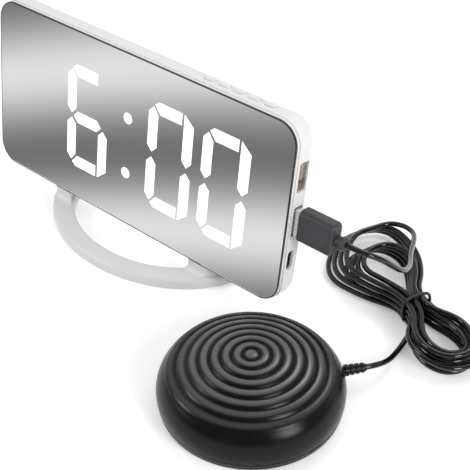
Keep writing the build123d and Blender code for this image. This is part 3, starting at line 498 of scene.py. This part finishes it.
def mirror_glass():
    """Silvered panel: bright face with faint smears, a thin dark border and a white edge behind it."""
    look = Look("mirror_silver", 0.02, 1.0)
    front = look.maths("GREATER_THAN", look.along(look.normal, FACE_NORMAL), FACING)
    face_at = (FACE_NORMAL[1] * FACE_Y + FACE_NORMAL[2] * FACE_Z) * MM
    depth = look.along(look.place, FACE_NORMAL)
    line = look.maths("GREATER_THAN", depth, face_at - EDGE_LINE * MM)
    edge_tone = look.blend(line, EDGE_WHITE, EDGE_BLACK)
    middle = (FACE_UP[1] * FACE_Y + FACE_UP[2] * FACE_Z) * MM
    across = look.split()["X"]
    up = look.maths("SUBTRACT", look.along(look.place, FACE_UP), middle)
    past = []
    for place, size in ((across, MIRROR_W), (up, MIRROR_H)):
        over = look.maths("SUBTRACT", look.maths("ABSOLUTE", place), (size / 2 - MIRROR_R) * MM)
        over = look.maths("MAXIMUM", over, 0.0)
        past.append(look.maths("MULTIPLY", over, over))
    reach = look.maths("SQRT", look.maths("ADD", *past))
    inside = look.maths("LESS_THAN", reach, (MIRROR_R - FACE_BORDER) * MM)
    front = look.maths("MULTIPLY", front, inside)
    silver = look.blend(look.noise(*SILVER_NOISE), SILVER_DULL, SILVER_CLEAN)
    look.feed(look.blend(front, edge_tone, silver), "Base Color")
    look.feed(front, "Metallic")
    smear = look.spread(look.noise(*SMEAR_NOISE), SMEAR_CLEAN, SMEAR_DULL, SMEAR_START, SMEAR_END)
    edge = look.maths("MULTIPLY", look.maths("SUBTRACT", 1.0, front), EDGE_ROUGH)
    look.feed(look.maths("ADD", smear, edge), "Roughness")
    return look


# Radii in millimetres, and the cosine that is -1 on a crest and 1 in a groove
CREST_FULL = -0.8
CREST_NONE = 0.5
CROWN_END = SHOULDER_R - 1.6
FADE_START = 21.0
FADE_END = SHOULDER_R - 2.0
FADE_LEFT = 0.3
PAINTED_SHEEN_FULL = 0.8
CREST_COAT_ROUGH = 0.26
PAINTED_SHEEN_DRIFT = 0.88
CENTRE_R = 4.0
CENTRE_ROUGH = 0.4
FLANK_ROUGH = 0.25
FINISH_SWING = 0.04
PUCK_SPECULAR = 0.2
PUCK_GRAIN = 2400.0
PUCK_DEPTH = 0.00002
GROOVE_BLACK = (0.003, 0.003, 0.0033)
# Grey painted on the ridge crests as a painted sheen, standing in for reflected light
PAINTED_SHEEN_GREY = (0.078, 0.076, 0.082)


def puck_plastic(name):
    """Black plastic, polished on the flank, with a clear coat and a painted sheen of grey on the
    crests of its ridges that fades outward.
    """
    look = Look(name, 0.27, 0.0, PUCK_SPECULAR)
    centre = (-PUCK_X * MM, -PUCK_Y * MM, 0)
    flat = look.vector("MULTIPLY_ADD", look.place, (1, 1, 0), centre)["Vector"]
    radius = look.maths("MULTIPLY", look.vector("LENGTH", flat)["Value"], 1 / MM)
    outside_dot = look.maths("MAXIMUM", radius, DOT_R - RIDGE_PITCH / 2)
    past_dot = look.maths("SUBTRACT", outside_dot, DOT_R)
    turns = look.maths("MULTIPLY", past_dot, 2 * math.pi / RIDGE_PITCH)
    crest = look.spread(look.maths("COSINE", turns), 1.0, 0.0, CREST_FULL, CREST_NONE)
    crown = look.spread(radius, 1.0, 0.0, CROWN_END, SHOULDER_R)
    fade = look.spread(radius, 1.0, FADE_LEFT, FADE_START, FADE_END)
    # Painted sheen mask: the crests, fading outward and ending at the shoulder; it also sets the coat
    painted_sheen_mask = look.maths("MULTIPLY", crest, look.maths("MULTIPLY", crown, fade))
    look.feed(look.spread(painted_sheen_mask, 0.0, 1.0, 0.0, PAINTED_SHEEN_FULL), "Coat Weight")
    look.shader.inputs["Coat Roughness"].default_value = CREST_COAT_ROUGH
    finish = look.spread(radius, CENTRE_ROUGH, FLANK_ROUGH, CENTRE_R, SHOULDER_R)
    wander = look.spread(look.noise(*FINISH_NOISE), -FINISH_SWING, FINISH_SWING)
    look.feed(look.maths("ADD", finish, wander), "Roughness")
    drift = look.spread(look.noise(*DRIFT_NOISE), PAINTED_SHEEN_DRIFT, 1.0)
    # Painted sheen: the crests blend from black towards the painted grey
    grey = look.maths("MULTIPLY", painted_sheen_mask, drift)
    look.feed(look.blend(grey, GROOVE_BLACK, PAINTED_SHEEN_GREY), "Base Color")
    look.bump(look.noise(PUCK_GRAIN), PUCK_DEPTH)
    return look


GUIDE_WHITE = (0.85, 0.85, 0.85, 1)
GLOW_SCALE = 180.0
GLOW_STRENGTH = 0.9
GLOW_COOL = (0.2, (0.93, 0.95, 0.97))
GLOW_WHITE = (0.6, (1.0, 1.0, 1.0))


def lit_diffuser():
    """White light guide lit from behind, a touch brighter in soft spots."""
    look = Look("lit_white", 0.5)
    look.shader.inputs["Base Color"].default_value = GUIDE_WHITE
    look.feed(look.ramp(look.noise(GLOW_SCALE), GLOW_COOL, GLOW_WHITE), "Emission Color")
    look.shader.inputs["Emission Strength"].default_value = GLOW_STRENGTH
    return look


white_gloss = moulded(
    "white_gloss", (0.84, 0.84, 0.835), 0.36, grain=1500, depth=0.000005, drift=0.008, swing=0.03
)
stand_white = moulded(
    "stand_white", (0.76, 0.76, 0.755), 0.36, grain=1500, depth=0.000015, drift=0.015
)
dark_plastic = moulded("dark_plastic", (0.03, 0.03, 0.032), 0.45)
plug_black = moulded(
    "plug_black", (0.044, 0.043, 0.05), 0.42,
    grain=3200, depth=0.00003, drift=0.1, swing=0.06, specular=0.45,
)
light_plastic = moulded("light_plastic", (0.68, 0.66, 0.6), 0.45)
tongue_cream = moulded("tongue_cream", (0.95, 0.83, 0.68), 0.35, depth=0.00001, drift=0.03)
puck_black = moulded(
    "puck_black", (0.004, 0.004, 0.0044), 0.3, grain=2400, drift=0.12, specular=0.24
)
cord_black = moulded(
    "cord_black", (0.002, 0.002, 0.0022), 0.09, grain=500, depth=0.000008, drift=0.15, swing=0.03
)
tie_black = moulded("tie_black", (0.012, 0.012, 0.012), 0.35, grain=1500, drift=0.1)
# Puck cover: black plastic with a painted sheen on its ridge crests
puck_painted_sheen = puck_plastic("puck_painted_sheen")
bright_steel = metal("bright_steel", (0.86, 0.86, 0.86), 0.26)
motor_steel = metal("motor_steel", (0.55, 0.56, 0.58), 0.3)
weight_brass = metal("weight_brass", (0.72, 0.55, 0.26), 0.3)
board_green = circuit("board_green")
mirror = mirror_glass()
lit_white = lit_diffuser()

BUTTONS = 5
LOOKS = {
    mirror: ["mirror_panel"],
    lit_white: ["digit_segments", "colon_dots"],
    white_gloss: ["case_shell", "battery_door"] + ["top_button_%d" % (i + 1) for i in range(BUTTONS)],
    stand_white: ["stand"],
    dark_plastic: ["segment_mask", "buzzer", "tact_switches", "plug_insulator", "power_tongue"],
    plug_black: ["plug_overmold"],
    light_plastic: ["front_frame", "cell_holder", "led_chips", "motor_clamp"],
    tongue_cream: ["usb_tongue_upper", "usb_tongue_lower"],
    puck_painted_sheen: ["puck_cover"],
    puck_black: ["puck_base", "strain_relief"],
    bright_steel: [
        "usb_socket_upper", "usb_socket_lower", "power_socket", "plug_shell",
        "coin_cell", "case_screws", "door_screw", "cover_screws", "clamp_screws",
    ],
    motor_steel: ["motor_can", "motor_shaft"],
    weight_brass: ["eccentric_weight"],
    board_green: ["display_board", "port_board", "button_board"],
}


def dress(piece, look):
    piece.data.materials.clear()
    piece.data.materials.append(look.material)


for look, names in LOOKS.items():
    for name in names:
        dress(node[name], look)
dress(cord, cord_black)
dress(tie, tie_black)


# Stage: pale floor, a glowing card that paints the mirror's reflection, soft light
def sheet(name, left, right, low, high, z):
    corners = [(left, low, z), (right, low, z), (right, high, z), (left, high, z)]
    mesh = bpy.data.meshes.new(name)
    mesh.from_pydata(corners, [], [tuple(range(len(corners)))])
    piece = bpy.data.objects.new(name, mesh)
    scene.collection.objects.link(piece)
    return piece


FLOOR = 4.0
FLOOR_Z = -0.0002
FLOOR_LIFT = 0.3
PAPER_NOISE = 3.0
PAPER_DULL = (0.945, 0.945, 0.945)
PAPER_WHITE = (0.955, 0.955, 0.955)
floor = sheet("floor", -FLOOR, FLOOR, -FLOOR, FLOOR, FLOOR_Z)


def paper_look():
    """White paper that stays white to the eye and in reflections, and keeps the shadow."""
    look = Look("floor_paper", 0.9, 0.0, 0.0)
    look.feed(look.blend(look.noise(PAPER_NOISE), PAPER_DULL, PAPER_WHITE), "Base Color")
    rays = look.add("ShaderNodeLightPath").outputs
    seen = look.maths("MAXIMUM", rays["Is Camera Ray"], rays["Is Glossy Ray"])
    seen = look.maths("MAXIMUM", seen, rays["Is Transmission Ray"])
    look.shader.inputs["Emission Color"].default_value = (1, 1, 1, 1)
    look.feed(look.maths("MULTIPLY", seen, FLOOR_LIFT), "Emission Strength")
    return look


dress(floor, paper_look())

# Card in front of the mirror that only reflections see, glowing with a painted reflection for it,
# millimetres
CARD_GAP = 8.0
CARD_LEFT = -100.0
CARD_RIGHT = 93.0
CARD_LOW = -47.5
CARD_HIGH = 44.0
CARD_HIDDEN = ("camera", "diffuse", "shadow", "transmission", "volume_scatter")
card = sheet("mirror_card", CARD_LEFT * MM, CARD_RIGHT * MM, CARD_LOW * MM, CARD_HIGH * MM, 0)
card_place = CLOCK.copy()
card_place.translation = CLOCK @ Vector((0, 0, CARD_GAP)) * MM
card.matrix_world = card_place
for rays in CARD_HIDDEN:
    setattr(card, "visible_" + rays, False)

# Shift of a card point to where the mirror shows it, and the picture's row at a share across and down
SHIFT_ACROSS = 7.7
SHIFT_UP = 5.6
ROW_START = -3.4
ROW_ACROSS = 131.8
ROW_DOWN = 158.5
ROW_BOTH = 19.6
BAND_ROW = 71.0
BAND_PITCH = 167
BAND_TONE = 0.68
BAND_SWING = 0.222
DISPLAY_POWER = 2.2


def card_look():
    """Grey bands that run level in the photograph's view of the mirror."""
    look = Look("card_painted_reflection")
    look.tree.nodes.remove(look.shader)
    place = look.split()
    left = (SHIFT_ACROSS + MIRROR_W / 2) / MIRROR_W
    top = (MIRROR_H / 2 - SHIFT_UP) / MIRROR_H
    across = look.maths("MULTIPLY_ADD", place["X"], 1 / (MIRROR_W * MM), left)
    down = look.maths("MULTIPLY_ADD", place["Y"], -1 / (MIRROR_H * MM), top)
    row = look.maths("MULTIPLY_ADD", across, ROW_ACROSS, ROW_START)
    row = look.maths("ADD", row, look.maths("MULTIPLY", down, ROW_DOWN))
    both = look.maths("MULTIPLY", across, down)
    row = look.maths("ADD", row, look.maths("MULTIPLY", both, ROW_BOTH))
    turns = look.maths("MULTIPLY", look.maths("SUBTRACT", row, BAND_ROW), 2 * math.pi / BAND_PITCH)
    tone = look.maths("MULTIPLY_ADD", look.maths("COSINE", turns), BAND_SWING, BAND_TONE)
    # Painted reflection: the card glows with these bands, which the mirror shows as its reflection
    glow = look.add("ShaderNodeEmission")
    look.link(look.maths("POWER", tone, DISPLAY_POWER), glow.inputs["Strength"])
    clear = look.add("ShaderNodeBsdfTransparent")
    side = look.add("ShaderNodeNewGeometry")
    mixed = look.add("ShaderNodeMixShader")
    look.link(side.outputs["Backfacing"], mixed.inputs["Fac"])
    look.link(clear.outputs[0], mixed.inputs[1])
    look.link(glow.outputs[0], mixed.inputs[2])
    look.link(mixed.outputs[0], look.tree.nodes["Material Output"].inputs["Surface"])
    return look


dress(card, card_look())

# A pale backdrop behind the object that falls off to a dimmer room in front
WORLD_BACK = 0.8
WORLD_FRONT = 0.3
BACKDROP_AT = (-0.6, 0.72, 0.35)
FALL_START = -0.25
FALL_END = 0.55
world = bpy.data.worlds.new("studio")
scene.world = world
world.use_nodes = True
sky = world.node_tree.nodes["Background"]
sky.inputs["Color"].default_value = (1, 1, 1, 1)
around = world.node_tree.nodes.new("ShaderNodeTexCoord")
behind = world.node_tree.nodes.new("ShaderNodeVectorMath")
behind.operation = "DOT_PRODUCT"
behind.inputs[1].default_value = BACKDROP_AT
fall = world.node_tree.nodes.new("ShaderNodeMapRange")
fall.interpolation_type = "SMOOTHSTEP"
limits = {"From Min": FALL_START, "From Max": FALL_END, "To Min": WORLD_FRONT, "To Max": WORLD_BACK}
for key, value in limits.items():
    fall.inputs[key].default_value = value
world.node_tree.links.new(around.outputs["Generated"], behind.inputs[0])
world.node_tree.links.new(behind.outputs["Value"], fall.inputs["Value"])
world.node_tree.links.new(fall.outputs["Result"], sky.inputs["Strength"])


def soft_box(name, place, target, size, watts):
    lamp = bpy.data.lights.new(name, "AREA")
    lamp.shape = "RECTANGLE"
    lamp.size, lamp.size_y = size
    lamp.energy = watts
    piece = bpy.data.objects.new(name, lamp)
    scene.collection.objects.link(piece)
    piece.location = place
    piece.rotation_euler = (Vector(target) - Vector(place)).to_track_quat("-Z", "Y").to_euler()


soft_box("back", place=(-0.05, 0.6, 0.72), target=(0.08, 0.0, 0.02), size=(0.4, 0.22), watts=1.3)
soft_box("right", place=(0.8, -0.1, 0.38), target=(0.08, 0.02, 0.04), size=(0.26, 0.36), watts=3.2)
soft_box("left", place=(-0.6, -0.6, 0.5), target=(0.06, 0.0, 0.02), size=(0.3, 0.3), watts=2.7)
